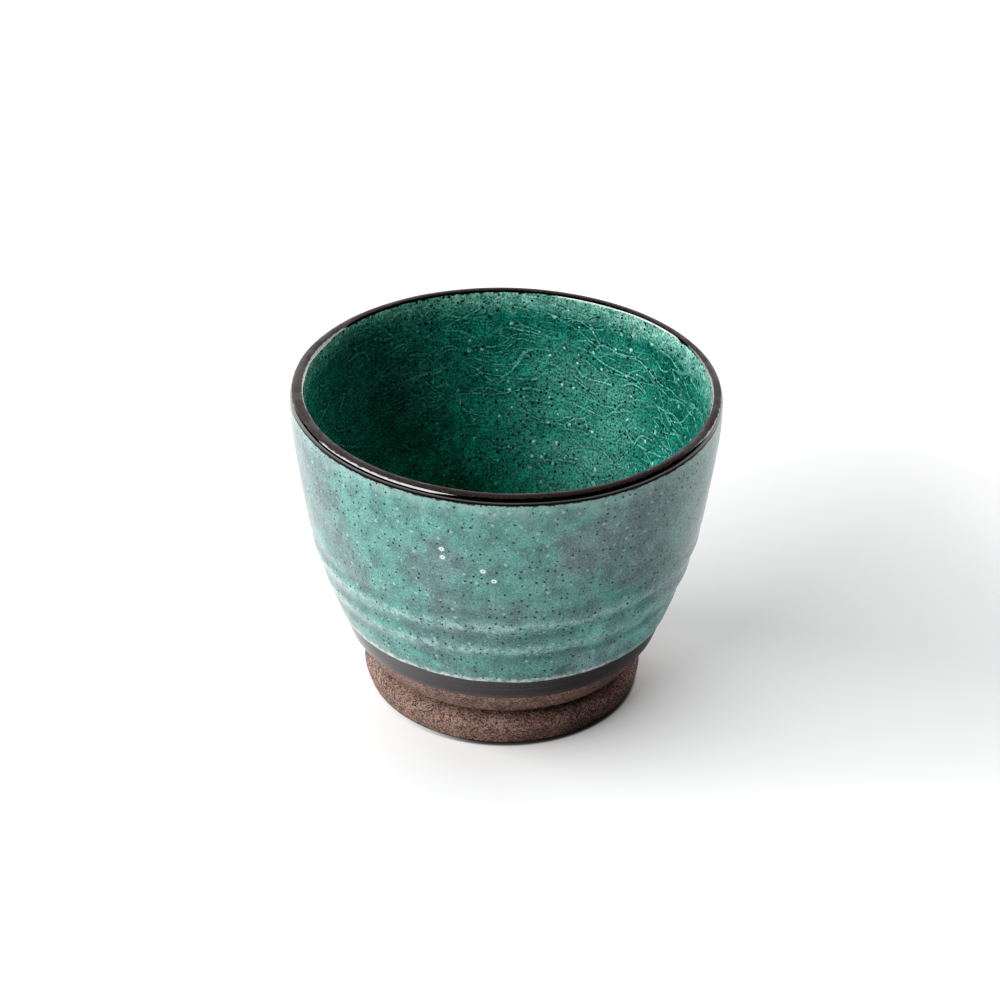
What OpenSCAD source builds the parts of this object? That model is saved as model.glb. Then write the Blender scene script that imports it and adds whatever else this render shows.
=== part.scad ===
// Stoneware sake cup: a thrown bowl luted onto a turned foot ring, with an iron slip band
// low on the wall, a dark dressing over the lip, and a green crackle glaze outside and inside.
// Millimetres, +Z up. The origin is on the table, on the cup's axis.

/* [Bowl] */
// Outside diameter over the dressed lip
rim_d = 68; // [60:0.5:78]
// Height from the table to the top of the dressed lip
cup_h = 54; // [46:0.5:64]
// Clay diameter at the belly
belly_d = 62.4; // [54:0.2:66]
// Height of the belly above the table
belly_z = 31; // [26:0.5:37]
// Clay diameter at the hip, where the wall starts to rise
hip_d = 53.8; // [46:0.2:58]
// Height of the hip above the table
hip_z = 16.5; // [13.5:0.1:20]
// Clay diameter at the heel, the lower edge of the bowl's wall
heel_d = 45; // [42:0.2:48]
// Height of the rounded heel above the slip joint
heel_h = 0.8; // [0.4:0.1:1.4]
// Diameter of the groove where the bowl sits on the foot
groove_d = 40; // [37:0.2:42]
// Lean of the wall from upright where it leaves the heel, in degrees
heel_lean = 43.5; // [30:0.5:52]
// Lean of the wall from upright at the hip, in degrees
hip_lean = 19; // [12:1:28]
// Lean of the wall from upright at the belly, in degrees
belly_lean = 8.5; // [4:0.5:14]
// Lean of the wall from upright at the lip, in degrees
lip_lean = 3; // [0:0.5:8]

/* [Wall] */
// Clay thickness at the lip
lip_t = 1.4; // [1.2:0.1:2.4]
// Clay thickness of the wall down at the hip
wall_t = 4; // [2.6:0.1:5]
// Clay thickness of the floor on the axis
floor_t = 4.6; // [3.4:0.1:6]
// Height of the rounded bottom inside the bowl
well_round = 15; // [10:0.5:20]
// Squareness of the rounded bottom, 2 is an ellipse
well_square = 2.4; // [2:0.1:3.2]

/* [Throwing rings] */
// Depth of the finger grooves left by throwing
ring_depth = 0.32; // [0.1:0.02:0.5]
// Height of one finger groove
ring_pitch = 5.2; // [3.6:0.1:6]
// Height of the lowest finger groove above the table
ring_low_z = 18.3; // [17:0.1:21]
// Number of finger grooves
ring_count = 3; // [1:1:4]

/* [Foot] */
// Height of the foot ring
foot_h = 6.1; // [5.4:0.1:7.4]
// Greatest diameter of the foot ring, round its bead
foot_d = 45.6; // [44:0.2:50]
// Height of the bead's widest point above the table
bead_z = 3.4; // [2.4:0.1:4]
// Height of the neck between the foot ring's shoulder and the slip joint
neck_h = 1; // [0.4:0.1:1.2]
// Outside diameter of the foot ring at the table
foot_base_d = 44.2; // [42:0.2:46]
// Width of the flat face that stands on the table
foot_face_w = 4.2; // [3:0.1:5]
// Rounding of the two edges of the standing face
foot_edge_r = 0.8; // [0.3:0.1:1]
// Width of the slip joint between the foot and the bowl
joint_w = 4.3; // [4:0.1:6]
// Thickness of the slip that joins the foot to the bowl
joint_t = 0.3; // [0.2:0.05:0.5]

/* [Coats] */
// Thickness of the green glaze
glaze_t = 0.5; // [0.35:0.05:0.7]
// Thickness of the iron slip band
slip_t = 0.2; // [0.1:0.05:0.3]
// Thickness of the dark lip dressing
dressing_t = 0.3; // [0.2:0.05:0.34]
// Lower edge of the iron slip band above the table
band_low_z = 11.1; // [9:0.1:13]
// Lower edge of the green glaze above the table
glaze_line_z = 16.6; // [14:0.1:18]
// Height of the rolled lower edge of the green glaze
glaze_roll = 0.9; // [0.5:0.1:1.4]
// Depth of the lip dressing outside, below the round of the lip
dressing_drop = 0.1; // [0.1:0.1:1.5]
// How far the lip dressing wraps over the round of the lip, in degrees from outside
dressing_wrap = 143; // [100:1:165]
// Height over which the glaze thins towards the lip dressing
thinning_h = 5; // [2:0.5:8]
// Extra depth of the glaze that pools on the inside floor
pool_t = 0.7; // [0:0.1:1.2]

/* [Hidden] */
$fn = 144;

// Samples along each stretch of the outline
span_steps = 8;
wall_steps = 48;
arc_steps = 12;
// Steps in height and in angle for the slope of a wall
slope_dz = 0.01;
slope_da = 0.5;

// Heights where the pieces and coats meet
shoulder_z = foot_h - neck_h;
bowl_z = foot_h + joint_t;
heel_z = bowl_z + heel_h;
floor_z = bowl_z + floor_t;
lip_arc_r = lip_t / 2;
lip_z = cup_h - dressing_t - lip_arc_r;
lip_out_r = rim_d / 2 - dressing_t;
lip_mid_r = lip_out_r - lip_arc_r;
dressing_z = lip_z - dressing_drop;
well_top_z = floor_z + well_round;

// Radii of the heel and the foot ring
heel_r = heel_d / 2;
groove_r = groove_d / 2;
bead_r = foot_d / 2;
base_r = foot_base_d / 2;
face_out_r = base_r - foot_edge_r;
face_in_r = face_out_r - foot_face_w;
joint_in_r = groove_r - joint_w;

// Outer wall: height, radius and slope dr/dz at each station, from the heel to the lip
stations = [
    [heel_z, heel_r, tan(heel_lean)],
    [hip_z, hip_d / 2, tan(hip_lean)],
    [belly_z, belly_d / 2, tan(belly_lean)],
    [lip_z, lip_out_r, tan(lip_lean)],
];

// Share of the way from a to b, held between 0 and 1
function share(z, a, b) = min(1, max(0, (z - a) / (b - a)));
// The same share, eased in and out
function eased(s) = s * s * (3 - 2 * s);
// Even samples from a to b, both ends included
function samples(a, b, steps) = [for (i = [0:steps]) a + (b - a) * i / steps];
function reversed(list) = [for (i = [len(list) - 1:-1:0]) list[i]];
// All but the first item of a list
function rest(list) = [for (i = [1:len(list) - 1]) list[i]];

// Radius at z on the cubic that joins station a to station b
function blend_r(a, b, z) =
    let (h = b[0] - a[0], s = share(z, a[0], b[0]))
    a[1] * (1 - eased(s)) + b[1] * eased(s) + h * s * (1 - s) * (a[2] * (1 - s) - b[2] * s);

// Finger grooves cut into the wall between the lowest and the highest ring
function ring_dent(z) =
    let (turns = (z - ring_low_z) / ring_pitch)
    turns <= 0 || turns >= ring_count ? 0 : ring_depth * (1 - cos(360 * turns)) / 2;

// Clay radius of the outer wall
function outer_r(z) =
    let (i = z < hip_z ? 0 : z < belly_z ? 1 : 2)
    blend_r(stations[i], stations[i + 1], z) - ring_dent(z);

// Clay radius of the inner wall, above the rounded bottom
function inner_r(z) =
    let (i = z < hip_z ? 0 : z < belly_z ? 1 : 2)
    blend_r(stations[i], stations[i + 1], z) - lip_t - (wall_t - lip_t) * eased(share(z, lip_z, hip_z));

function outer_point(z) = [outer_r(z), z];
function inner_point(z) = [inner_r(z), z];

// Unit normal pointing out of the clay
function outer_normal(z) =
    let (m = (outer_r(z + slope_dz) - outer_r(z - slope_dz)) / (2 * slope_dz))
    [1, -m] / sqrt(1 + m * m);
function inner_normal(z) =
    let (m = (inner_r(z + slope_dz) - inner_r(z - slope_dz)) / (2 * slope_dz))
    [-1, m] / sqrt(1 + m * m);

// Rounded bottom inside the bowl: 0 degrees at the wall, 90 degrees on the axis
function well_point(a) =
    let (z = well_top_z - well_round * pow(sin(a), 2 / well_square))
    [inner_r(z) * pow(max(0, cos(a)), 2 / well_square), z];
function well_normal(a) =
    let (d = well_point(min(90, a + slope_da)) - well_point(max(0, a - slope_da)), v = [d[1], -d[0]])
    a >= 90 ? [0, 1] : v / norm(v);

// Round of the heel: 0 degrees in the groove, 90 degrees at the foot of the wall
function heel_point(a) =
    [groove_r + (heel_r - groove_r) * sin(a), heel_z - heel_h * cos(a)];

// Point on the round of the lip, or on its dressing: 0 degrees outside, 180 degrees inside
function lip_point(a, grow = 0) =
    [lip_mid_r, lip_z] + (lip_arc_r + grow) * [cos(a), sin(a)];

// Thickness of the green glaze: rolled at its lower edge and thin beside the lip dressing
function outer_glaze_t(z) =
    let (
        roll = 1 - share(z, glaze_line_z, glaze_line_z + glaze_roll),
        full = slip_t + (glaze_t - slip_t) * sqrt(1 - roll * roll)
    )
    full + (dressing_t - full) * eased(share(z, dressing_z - thinning_h, dressing_z));
function inner_glaze_t(z) =
    glaze_t + (dressing_t - glaze_t) * eased(share(z, lip_z - thinning_h, lip_z));
function well_glaze_t(a) = glaze_t + pool_t * pow(sin(a), 2);

// Sample heights and angles, shared by the clay and the coats that lie on it
heel_angles = samples(0, 90, arc_steps / 2);
bare_zs = samples(heel_z, band_low_z, span_steps);
band_zs = samples(band_low_z, glaze_line_z, span_steps);
glaze_zs = samples(glaze_line_z, dressing_z, wall_steps);
dressing_angles = samples(0, dressing_wrap, arc_steps);
lip_angles = samples(dressing_wrap, 180, arc_steps / 2);
inner_zs = samples(lip_z, well_top_z, wall_steps / 2);
well_angles = samples(0, 90, wall_steps / 2);

// Outer faces of the coats
function outer_coat(z, t) = outer_point(z) + t * outer_normal(z);
function inner_coat(z, t) = inner_point(z) + t * inner_normal(z);

module bowl_outline() {
    polygon(concat(
        [[0, bowl_z]],
        [for (a = heel_angles) heel_point(a)],
        [for (z = rest(bare_zs)) outer_point(z)],
        [for (z = rest(band_zs)) outer_point(z)],
        [for (z = rest(glaze_zs)) outer_point(z)],
        [for (a = dressing_angles) lip_point(a)],
        [for (a = rest(lip_angles)) lip_point(a)],
        [for (z = rest(inner_zs)) inner_point(z)],
        [for (a = rest(well_angles)) well_point(a)]
    ));
}

// Thrown bowl: wall, floor and rounded lip in bare clay
module stoneware_bowl() {
    color("#6a5048") rotate_extrude() bowl_outline();
}

// Turned foot ring: two eased edges at the table, a bead, a round shoulder and a neck
module foot_ring() {
    color("#7d6257") rotate_extrude() polygon(concat(
        [for (a = samples(180, 270, arc_steps / 2))
            [face_in_r, foot_edge_r] + foot_edge_r * [cos(a), sin(a)]],
        [for (a = samples(270, 360, arc_steps / 2))
            [face_out_r, foot_edge_r] + foot_edge_r * [cos(a), sin(a)]],
        [for (a = samples(0, 90, arc_steps))
            [groove_r + (bead_r - groove_r) * cos(a), bead_z + (shoulder_z - bead_z) * sin(a)]],
        [[groove_r, foot_h], [joint_in_r, foot_h]]
    ));
}

// Slip that joins the foot ring to the underside of the bowl
module luting_slip() {
    color("#5b453e") rotate_extrude() polygon([
        [joint_in_r, foot_h],
        [groove_r, foot_h],
        [groove_r, bowl_z],
        [joint_in_r, bowl_z],
    ]);
}

// Dark iron slip band between the bare clay and the green glaze
module iron_band() {
    color("#47464a") rotate_extrude() polygon(concat(
        [for (z = band_zs) outer_point(z)],
        reversed([for (z = band_zs) outer_coat(z, slip_t)])
    ));
}

// Green crackle glaze on the outside of the bowl
module outer_glaze() {
    color("#5f9a8c") rotate_extrude() polygon(concat(
        [for (z = glaze_zs) outer_point(z)],
        reversed([for (z = glaze_zs) outer_coat(z, outer_glaze_t(z))])
    ));
}

// Dark dressing over the outside and top of the lip
module lip_dressing() {
    color("#2b2728") rotate_extrude() polygon(concat(
        [outer_coat(dressing_z, dressing_t)],
        [for (a = dressing_angles) lip_point(a, dressing_t)],
        reversed([for (a = dressing_angles) lip_point(a)]),
        [outer_point(dressing_z)]
    ));
}

// Green crackle glaze on the inside, from the lip down, pooled on the floor
module inner_glaze() {
    color("#1e6b5a") rotate_extrude() polygon(concat(
        [for (a = lip_angles) lip_point(a)],
        [for (z = rest(inner_zs)) inner_point(z)],
        [for (a = rest(well_angles)) well_point(a)],
        reversed([for (a = rest(well_angles)) well_point(a) + well_glaze_t(a) * well_normal(a)]),
        reversed([for (z = rest(inner_zs)) inner_coat(z, inner_glaze_t(z))]),
        reversed([for (a = lip_angles) lip_point(a, dressing_t)])
    ));
}

stoneware_bowl();
foot_ring();
luting_slip();
iron_band();
outer_glaze();
inner_glaze();
lip_dressing();
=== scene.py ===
"""Dressed model of a hand-thrown stoneware sake cup.

The pieces follow the sizes of the part's source. Each one is turned from an outline, marked by
hand with a finger spiral, an oval rim and wavy coat edges, and dressed with a procedural finish.
"""

import logging
import math
from collections.abc import Callable
from dataclasses import dataclass, field
from enum import Enum
from typing import Optional, Sequence, Union

import bpy
import numpy as np
from mathutils import Matrix, Vector


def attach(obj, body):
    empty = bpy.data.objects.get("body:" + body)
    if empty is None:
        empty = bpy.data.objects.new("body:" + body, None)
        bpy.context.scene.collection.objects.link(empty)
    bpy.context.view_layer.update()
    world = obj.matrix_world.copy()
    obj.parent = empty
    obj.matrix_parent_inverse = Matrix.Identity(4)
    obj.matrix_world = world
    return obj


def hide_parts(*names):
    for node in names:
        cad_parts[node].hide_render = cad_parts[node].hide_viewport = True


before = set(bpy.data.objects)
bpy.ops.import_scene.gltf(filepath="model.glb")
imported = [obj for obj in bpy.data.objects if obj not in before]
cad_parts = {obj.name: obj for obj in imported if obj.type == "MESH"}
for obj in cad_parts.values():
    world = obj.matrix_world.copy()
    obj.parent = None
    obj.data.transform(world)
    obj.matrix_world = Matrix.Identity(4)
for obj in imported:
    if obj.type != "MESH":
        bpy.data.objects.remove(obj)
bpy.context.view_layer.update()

LOG = logging.getLogger("sake_cup")
MM = 0.001
FULL_TURN = 2 * math.pi
BODY = "root"

Colour = tuple[float, float, float]
Piece = bpy.types.Object
Tree = bpy.types.NodeTree
Socket = bpy.types.NodeSocket
Outputs = bpy.types.NodeOutputs
Feed = Union[Socket, float, Sequence[float]]
Coat = Union[float, np.ndarray]


class Slot(Enum):
    """Material slots of the record."""

    BARE_CLAY = "bare_clay"
    FOOT_CLAY = "foot_clay"
    JOINT_SLIP = "joint_slip"
    IRON_SLIP = "iron_slip"
    GREEN_GLAZE = "green_glaze"
    POOLED_GLAZE = "pooled_glaze"
    DARK_DRESSING = "dark_dressing"


class Node(Enum):
    """CAD nodes that the pieces stand for."""

    BOWL = "stoneware_bowl"
    FOOT = "foot_ring"
    JOINT = "luting_slip"
    BAND = "iron_band"
    OUTER = "outer_glaze"
    INNER = "inner_glaze"
    LIP = "lip_dressing"


class Mark(Enum):
    """Attributes that a turned piece carries for its finish."""

    TURNED_R = "turned_r"
    TURNED_Z = "turned_z"
    RIDGE = "ridge"


@dataclass(frozen=True)
class CupSizes:
    """Sizes of the cup in millimetres and degrees, as in the part's source."""

    rim_d: float = 68.0
    cup_h: float = 54.0
    belly_d: float = 62.4
    belly_z: float = 31.0
    hip_d: float = 53.8
    hip_z: float = 16.5
    heel_d: float = 45.0
    heel_h: float = 0.8
    groove_d: float = 40.0
    heel_lean: float = 43.5
    hip_lean: float = 19.0
    belly_lean: float = 8.5
    lip_lean: float = 3.0
    lip_t: float = 1.4
    wall_t: float = 4.0
    floor_t: float = 4.6
    well_round: float = 15.0
    well_square: float = 2.4
    foot_h: float = 6.1
    foot_d: float = 45.6
    bead_z: float = 3.4
    neck_h: float = 1.0
    foot_base_d: float = 44.2
    foot_face_w: float = 4.2
    foot_edge_r: float = 0.8
    joint_w: float = 4.3
    joint_t: float = 0.3
    glaze_t: float = 0.5
    slip_t: float = 0.2
    dressing_t: float = 0.3
    band_low_z: float = 11.1
    glaze_line_z: float = 16.6
    glaze_roll: float = 0.9
    dressing_drop: float = 0.1
    dressing_wrap: float = 143.0
    thinning_h: float = 5.0
    pool_t: float = 0.7

    @property
    def shoulder_z(self) -> float:
        """Height where the foot ring's shoulder meets its neck."""
        return self.foot_h - self.neck_h

    @property
    def bowl_z(self) -> float:
        """Height of the bowl's underside."""
        return self.foot_h + self.joint_t

    @property
    def heel_z(self) -> float:
        """Height of the lower edge of the bowl's wall."""
        return self.bowl_z + self.heel_h

    @property
    def floor_z(self) -> float:
        """Height of the clay floor inside."""
        return self.bowl_z + self.floor_t

    @property
    def well_top_z(self) -> float:
        """Height where the rounded bottom meets the inner wall."""
        return self.floor_z + self.well_round

    @property
    def lip_z(self) -> float:
        """Height of the centre of the lip's round."""
        return self.cup_h - self.dressing_t - self.lip_t / 2

    @property
    def lip_out_r(self) -> float:
        """Clay radius outside the lip."""
        return self.rim_d / 2 - self.dressing_t

    @property
    def lip_mid_r(self) -> float:
        """Radius of the centre of the lip's round."""
        return self.lip_out_r - self.lip_t / 2

    @property
    def dressing_z(self) -> float:
        """Height of the lower edge of the lip dressing."""
        return self.lip_z - self.dressing_drop


def share(z: np.ndarray, a: float, b: float) -> np.ndarray:
    """Share of the way from a to b, held between 0 and 1."""
    return np.clip((z - a) / (b - a), 0.0, 1.0)


def eased(s: np.ndarray) -> np.ndarray:
    """The same share, eased in and out."""
    return s * s * (3.0 - 2.0 * s)


@dataclass(frozen=True)
class WallCurve:
    """The clay's outline: heel, outer wall, lip, inner wall and rounded bottom."""

    sizes: CupSizes
    slope_dz: float = 0.01
    slope_da: float = 0.5

    def base_r(self, z: np.ndarray) -> np.ndarray:
        """Clay radius of the outer wall without finger marks.

        Args:
            z: Heights in millimetres.

        Returns:
            Radii in millimetres.
        """
        s = self.sizes
        stations = (
            (s.heel_z, s.heel_d / 2, s.heel_lean),
            (s.hip_z, s.hip_d / 2, s.hip_lean),
            (s.belly_z, s.belly_d / 2, s.belly_lean),
            (s.lip_z, s.lip_out_r, s.lip_lean),
        )
        radius = np.full_like(z, s.heel_d / 2)
        for (z0, r0, lean0), (z1, r1, lean1) in zip(stations, stations[1:]):
            way = share(z, z0, z1)
            m0 = math.tan(math.radians(lean0))
            m1 = math.tan(math.radians(lean1))
            bow = (z1 - z0) * way * (1 - way) * (m0 * (1 - way) - m1 * way)
            radius = np.where(z >= z0, r0 * (1 - eased(way)) + r1 * eased(way) + bow, radius)
        return radius

    def inner_r(self, z: np.ndarray) -> np.ndarray:
        """Clay radius of the inner wall, above the rounded bottom."""
        s = self.sizes
        return self.base_r(z) - s.lip_t - (s.wall_t - s.lip_t) * eased(share(z, s.lip_z, s.hip_z))

    def heel(self, degrees: np.ndarray) -> np.ndarray:
        """Points on the round of the heel, 0 degrees in the groove and 90 at the wall."""
        s = self.sizes
        turn = np.radians(degrees)
        reach = (s.heel_d - s.groove_d) / 2
        return np.stack([s.groove_d / 2 + reach * np.sin(turn), s.heel_z - s.heel_h * np.cos(turn)], axis=1)

    def _skin(self, wall: Callable[[np.ndarray], np.ndarray], z: np.ndarray, coat: Coat) -> np.ndarray:
        """Points on a wall, or on a coat over it.

        Args:
            wall: Gives the wall's radius at each height.
            z: Heights on the clay.
            coat: Thickness of the coat, below 0 towards the axis.

        Returns:
            Array of radius and height.
        """
        slope = (wall(z + self.slope_dz) - wall(z - self.slope_dz)) / (2 * self.slope_dz)
        scale = coat / np.sqrt(1 + slope * slope)
        return np.stack([wall(z) + scale, z - slope * scale], axis=1)

    def outer(self, z: np.ndarray, coat: Coat = 0.0) -> np.ndarray:
        """Points on the outer wall, or on a coat over it."""
        return self._skin(self.base_r, z, coat)

    def inner(self, z: np.ndarray, coat: Coat = 0.0) -> np.ndarray:
        """Points on the inner wall, or on a coat over it."""
        return self._skin(self.inner_r, z, -coat)

    def lip(self, degrees: np.ndarray, coat: float = 0.0) -> np.ndarray:
        """Points on the round of the lip, 0 degrees outside and 180 inside."""
        s = self.sizes
        turn = np.radians(degrees)
        reach = s.lip_t / 2 + coat
        return np.stack([s.lip_mid_r + reach * np.cos(turn), s.lip_z + reach * np.sin(turn)], axis=1)

    def well(self, degrees: np.ndarray, coat: Coat = 0.0) -> np.ndarray:
        """Points on the rounded bottom inside, or on the glaze over it.

        Args:
            degrees: 0 at the wall, 90 on the axis.
            coat: Thickness of the coat.

        Returns:
            Array of radius and height.
        """
        s = self.sizes

        def clay(angle: np.ndarray) -> np.ndarray:
            """Clay points at the given angles."""
            turn = np.radians(np.clip(angle, 0.0, 90.0))
            power = 2 / s.well_square
            z = s.well_top_z - s.well_round * np.sin(turn) ** power
            return np.stack([self.inner_r(z) * np.maximum(np.cos(turn), 0.0) ** power, z], axis=1)

        step = clay(degrees + self.slope_da) - clay(degrees - self.slope_da)
        normal = np.stack([step[:, 1], -step[:, 0]], axis=1)
        normal /= np.linalg.norm(normal, axis=1)[:, None]
        normal[degrees >= 90.0] = (0.0, 1.0)
        return clay(degrees) + normal * np.reshape(coat * np.ones(len(degrees)), (-1, 1))


@dataclass(frozen=True)
class CoatEdge:
    """A wavy edge round the cup, in millimetres."""

    z: float
    high: float
    key: int
    waves: int
    fall: float
    reach: float
    drop: float


@dataclass(frozen=True)
class HandMarks:
    """Irregularities left by the hand, in millimetres."""

    curve: WallCurve
    spiral_depth: float = 0.36
    spiral_pitch: float = 5.2
    spiral_drift: float = 0.3
    spiral_front_z: float = 20.9
    spiral_low: tuple[float, float] = (18.6, 21.4)
    spiral_high: tuple[float, float] = (29.4, 33.6)
    inner_depth: float = 0.12
    inner_pitch: float = 6.5
    inner_above_floor: tuple[float, float] = (6.0, 12.0)
    inner_below_lip: tuple[float, float] = (8.0, 3.0)
    lump: float = 0.035
    lump_waves: int = 28
    oval: float = 0.2
    lean_left: float = 0.22
    left_swell: float = 0.4
    swell_h: float = 8.0
    rim_wave: float = 0.1
    still_r: float = 1.0
    dressing_run: float = 0.4
    glaze_run: float = 1.0
    band_lift: float = 0.6
    seed: int = 11

    def wave(self, angle: np.ndarray, key: int, highest: int, fall: float) -> np.ndarray:
        """Seeded wavy line round the cup, about 1 high.

        Args:
            angle: Angles round the axis in radians.
            key: Number that picks one line.
            highest: Most waves in one turn.
            fall: How fast the short waves lose height.

        Returns:
            Height of the line at each angle.
        """
        rng = np.random.default_rng(self.seed + key)
        line = np.zeros_like(angle)
        for count in range(2, highest):
            turn = count * angle + rng.uniform(0, FULL_TURN)
            line += np.cos(turn) * rng.uniform(0.4, 1.0) / count**fall
        return line

    def lumps(self, angle: np.ndarray, z: np.ndarray) -> np.ndarray:
        """Slow unevenness of the wall, about 1 high."""
        rng = np.random.default_rng(self.seed)
        height = np.zeros_like(z)
        for _ in range(self.lump_waves):
            turn = rng.integers(2, 16) * angle + rng.uniform(-0.5, 0.5) * z + rng.uniform(0, FULL_TURN)
            height += np.cos(turn)
        return height / math.sqrt(self.lump_waves)

    def spiral(self, angle: np.ndarray, z: np.ndarray) -> tuple[np.ndarray, np.ndarray]:
        """Finger spiral low on the wall.

        Args:
            angle: Angles round the axis in radians.
            z: Heights in millimetres.

        Returns:
            Depth of the dent, and the ridge: 1 on a crest, -1 in a trough and 0 elsewhere.
        """
        turn = (angle + math.pi / 2) / FULL_TURN
        drift = self.spiral_drift * self.wave(angle, 1, 7, 1.2)
        phase = FULL_TURN * ((z - self.spiral_front_z - drift) / self.spiral_pitch - turn)
        strength = eased(share(z, *self.spiral_low)) * (1 - eased(share(z, *self.spiral_high)))
        trough = (1 + np.cos(phase)) / 2
        ridge = strength * ((1 - trough) ** 3 - trough**2)
        return self.spiral_depth * strength * trough, ridge

    def edges(self) -> tuple[CoatEdge, ...]:
        """Wavy edges of the glaze, the iron band and the lip dressing."""
        s = self.curve.sizes
        return (
            CoatEdge(s.glaze_line_z, high=0.16, key=2, waves=60, fall=0.85, reach=1.8, drop=self.glaze_run),
            CoatEdge(s.band_low_z, high=0.1, key=3, waves=30, fall=0.9, reach=1.8, drop=-self.band_lift),
            CoatEdge(s.dressing_z, high=0.06, key=4, waves=48, fall=0.9, reach=0.8, drop=self.dressing_run),
        )

    def mark(self, piece: Piece, sand: float = 0.0) -> None:
        """Move a turned piece's vertices by the hand marks and store its attributes.

        Args:
            piece: Turned mesh, in metres.
            sand: Height of the sand grains that stand out of bare clay.
        """
        mesh = piece.data
        points = np.empty(len(mesh.vertices) * 3, dtype=np.float32)
        mesh.vertices.foreach_get("co", points)
        points = points.reshape(-1, 3).astype(float) / MM
        s = self.curve.sizes
        radius = np.hypot(points[:, 0], points[:, 1])
        angle = np.arctan2(points[:, 1], points[:, 0])
        z = points[:, 2]
        inner_r = self.curve.inner_r(z)
        outside = eased(np.clip((radius - inner_r) / (self.curve.base_r(z) - inner_r), 0.0, 1.0))
        climb = np.clip(z / s.cup_h, 0.0, 1.0)
        dent, ridge = self.spiral(angle, z)
        inside_turn = FULL_TURN * (z / self.inner_pitch - angle / FULL_TURN)
        low, full = self.inner_above_floor
        fading, still = self.inner_below_lip
        above_floor = share(z, s.floor_z + low, s.floor_z + full)
        below_lip = 1 - eased(share(z, s.cup_h - fading, s.cup_h - still))
        inside_dent = self.inner_depth * np.sin(inside_turn) * (1 - outside) * (above_floor * below_lip)
        sway = climb**2 * (self.oval * np.cos(2 * angle) - self.lean_left * np.cos(angle))
        uneven = self.lump * self.lumps(angle, z) * share(z, s.band_low_z, s.hip_z)
        grains = np.random.default_rng(self.seed).normal(0.0, sand, len(z)) * (z < s.band_low_z)
        swell_z = eased(share(z, s.lip_z - self.swell_h, s.lip_z))
        swell = self.left_swell * (1 - outside) * swell_z * np.maximum(-np.cos(angle), 0.0) ** 2
        shift = sway + uneven + grains - dent * outside + inside_dent - swell
        rise = climb**6 * self.rim_wave * (np.sin(2 * angle + 0.6) + 0.5 * np.sin(3 * angle + 2.0))
        slide = np.zeros_like(z)
        for edge in self.edges():
            near = np.exp(-(((z - edge.z) / edge.reach) ** 2)) * outside
            slide += near * (edge.high * self.wave(angle, edge.key, edge.waves, edge.fall) - edge.drop)
        shift = shift + self.curve.base_r(z + slide) - self.curve.base_r(z)
        new_r = radius + np.where(radius > self.still_r, shift, 0.0)
        moved = np.stack([new_r * np.cos(angle), new_r * np.sin(angle), z + slide + rise], axis=1)
        mesh.vertices.foreach_set("co", (moved * MM).astype(np.float32).ravel())
        layers = {Mark.TURNED_R: radius, Mark.TURNED_Z: z, Mark.RIDGE: ridge * outside}
        for mark, values in layers.items():
            layer = mesh.attributes.new(mark.value, "FLOAT", "POINT")
            layer.data.foreach_set("value", values.astype(np.float32))
        mesh.update()


def settle(piece: Piece, node: Node) -> Piece:
    """Let a piece ride on the cup and stand for its CAD node."""
    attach(piece, BODY)
    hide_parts(node.value)
    return piece


@dataclass(frozen=True)
class Wheel:
    """Turns outlines into closed pieces."""

    marks: HandMarks
    steps: int = 480
    merge: float = 2e-6
    smooth_degrees: float = 40.0

    def turn(
        self, name: str, outline: np.ndarray, node: Node, slot: Slot, closed: bool = True, sand: float = 0.0
    ) -> Piece:
        """Turn one outline about the cup's axis and settle the piece on the cup.

        Args:
            name: Name of the piece.
            outline: Radii and heights in millimetres, in order.
            node: CAD node that the piece stands for.
            slot: Its material slot; not used.
            closed: Whether the outline is a ring that doesn't touch the axis.
            sand: Height of sand grains on bare clay, in millimetres.

        Returns:
            The finished mesh object at the origin.
        """
        path = np.vstack([outline, outline[:1]]) if closed else outline
        bpy.ops.object.select_all(action="DESELECT")
        bpy.ops.mesh.primitive_plane_add(size=MM)
        piece = bpy.context.object
        piece.name = name
        piece.data.name = name
        bpy.ops.object.mode_set(mode="EDIT")
        bpy.ops.mesh.select_all(action="SELECT")
        bpy.ops.mesh.merge(type="CENTER")
        bpy.ops.transform.translate(value=(path[0, 0] * MM, 0.0, path[0, 1] * MM))
        for step in np.diff(path, axis=0) * MM:
            bpy.ops.mesh.extrude_region_move(TRANSFORM_OT_translate={"value": (step[0], 0.0, step[1])})
        bpy.ops.mesh.select_all(action="SELECT")
        bpy.ops.mesh.remove_doubles(threshold=self.merge)
        bpy.ops.object.mode_set(mode="OBJECT")
        self._lathe(piece)
        self.marks.mark(piece, sand)
        bpy.ops.object.shade_smooth_by_angle(angle=math.radians(self.smooth_degrees))
        return settle(piece, node)

    def _lathe(self, piece: Piece) -> None:
        """Sweep the outline once round the axis and close the mesh."""
        bpy.ops.object.modifier_add(type="SCREW")
        lathe = piece.modifiers[-1]
        lathe.axis = "Z"
        lathe.angle = FULL_TURN
        lathe.steps = self.steps
        lathe.render_steps = self.steps
        lathe.use_merge_vertices = True
        lathe.merge_threshold = self.merge
        bpy.ops.object.modifier_apply(modifier=lathe.name)
        bpy.ops.object.mode_set(mode="EDIT")
        bpy.ops.mesh.select_all(action="SELECT")
        bpy.ops.mesh.remove_doubles(threshold=self.merge)
        bpy.ops.mesh.normals_make_consistent(inside=False)
        bpy.ops.object.mode_set(mode="OBJECT")


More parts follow.
